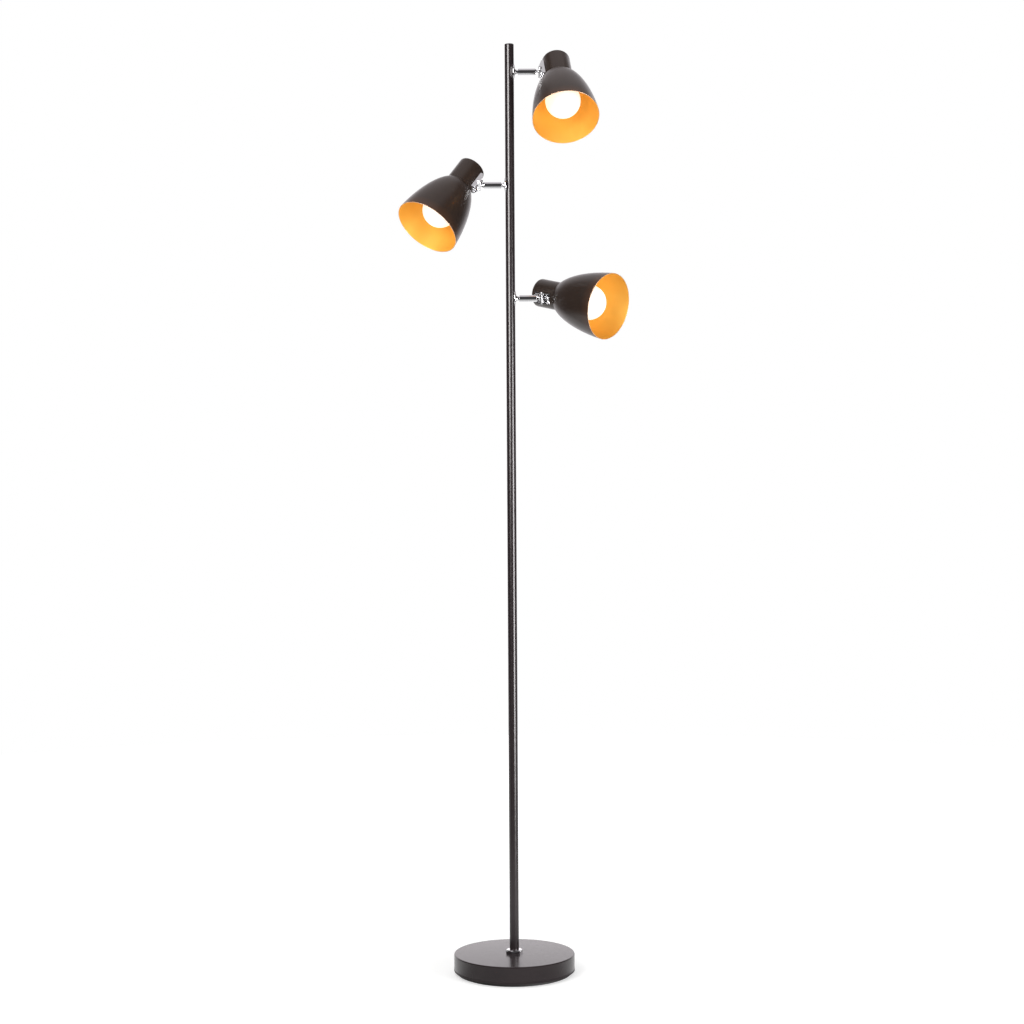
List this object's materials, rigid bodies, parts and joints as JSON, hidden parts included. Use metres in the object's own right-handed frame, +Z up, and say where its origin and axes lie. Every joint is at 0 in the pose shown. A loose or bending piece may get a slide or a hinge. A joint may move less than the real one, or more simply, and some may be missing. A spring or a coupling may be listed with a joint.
{
  "type": "tree floor lamp",
  "caption": "Slim pole floor lamp with a round weighted base and bell-shaped spot heads on short chrome arms, each turning about its arm and tilting at a hinge.",
  "frame": {"origin": "centre of the floor pad's underside, on the pole's axis, at floor level", "axes": "+Z up along the pole; +X the side of the top and bottom heads; -Y the front, which the shades face"},
  "size_m": [0.3937, 0.2258, 1.6],
  "materials": {
    "black_lacquer": "satin powder coat, warm black",
    "shade_lacquer": "satin warm black outside, gold inside",
    "chrome": "bright plated",
    "cast_iron": "raw casting, unseen",
    "zinc_steel": "zinc plated",
    "black_plastic": "moulded, fine grain",
    "pad_foam": "soft foam sheet",
    "rubber": "black rubber",
    "brass": "bright pressed brass",
    "nickel": "nickel plated",
    "opal": "opal white, lit",
    "wire_sleeve": "insulated flex"
  },
  "bodies": {
    "stand": {"floor_pad": "pad_foam", "base_plate": "black_plastic", "plate_screws": "zinc_steel", "base_weight": "cast_iron", "base_cover": "black_lacquer", "cord_gland": "rubber", "base_stud": "zinc_steel", "stud_nut": "zinc_steel", "foot_nut": "chrome", "foot_insert": "zinc_steel", "pole_lower": "black_lacquer", "pole_middle": "black_lacquer", "pole_upper": "black_lacquer", "pole_couplers": "zinc_steel", "pole_cap": "black_lacquer", "supply_lead": "wire_sleeve", "pole_bushes": "brass", "rosette_top": "chrome", "rosette_middle": "chrome", "rosette_bottom": "chrome"},
    "top_arm": {"swivel_stud_top": "zinc_steel", "swivel_nut_top": "zinc_steel", "arm_top": "chrome", "arm_wires_top": "wire_sleeve"},
    "top_head": {"shade_top": "shade_lacquer", "bracket_top": "chrome", "hinge_screws_top": "chrome", "bracket_screws_top": "chrome", "lampholder_top": "black_plastic", "holder_contacts_top": "brass", "holder_wires_top": "wire_sleeve", "bulb_cap_top": "nickel", "bulb_globe_top": "opal"},
    "middle_arm": {"swivel_stud_middle": "zinc_steel", "swivel_nut_middle": "zinc_steel", "arm_middle": "chrome", "arm_wires_middle": "wire_sleeve"},
    "middle_head": {"shade_middle": "shade_lacquer", "bracket_middle": "chrome", "hinge_screws_middle": "chrome", "bracket_screws_middle": "chrome", "lampholder_middle": "black_plastic", "holder_contacts_middle": "brass", "holder_wires_middle": "wire_sleeve", "bulb_cap_middle": "nickel", "bulb_globe_middle": "opal"},
    "bottom_arm": {"swivel_stud_bottom": "zinc_steel", "swivel_nut_bottom": "zinc_steel", "arm_bottom": "chrome", "arm_wires_bottom": "wire_sleeve"},
    "bottom_head": {"shade_bottom": "shade_lacquer", "bracket_bottom": "chrome", "hinge_screws_bottom": "chrome", "bracket_screws_bottom": "chrome", "lampholder_bottom": "black_plastic", "holder_contacts_bottom": "brass", "holder_wires_bottom": "wire_sleeve", "bulb_cap_bottom": "nickel", "bulb_globe_bottom": "opal"}
  },
  "joints": [
    {"name": "top_swivel", "type": "hinge", "parent": "stand", "child": "top_arm", "pos_m": [0, 0, 1.5515], "axis": [1, 0, 0], "range_deg": [-130.5, 209.5]},
    {"name": "top_tilt", "type": "hinge", "parent": "top_arm", "child": "top_head", "pos_m": [0.053, 0, 1.5515], "axis": [0, 0.7716, -0.6361], "range_deg": [-59.5, 7.5]},
    {"name": "middle_swivel", "type": "hinge", "parent": "stand", "child": "middle_arm", "pos_m": [0, 0, 1.3565], "axis": [-1, 0, 0], "range_deg": [-202, 138]},
    {"name": "middle_tilt", "type": "hinge", "parent": "middle_arm", "child": "middle_head", "pos_m": [-0.053, 0, 1.3565], "axis": [0, -0.848, 0.5299], "range_deg": [-34.8, 32.2]},
    {"name": "bottom_swivel", "type": "hinge", "parent": "stand", "child": "bottom_arm", "pos_m": [0, 0, 1.1615], "axis": [1, 0, 0], "range_deg": [-99.5, 240.5]},
    {"name": "bottom_tilt", "type": "hinge", "parent": "bottom_arm", "child": "bottom_head", "pos_m": [0.053, 0, 1.1615], "axis": [0, 0.3338, -0.9426], "range_deg": [-15.7, 51.3]}
  ]
}
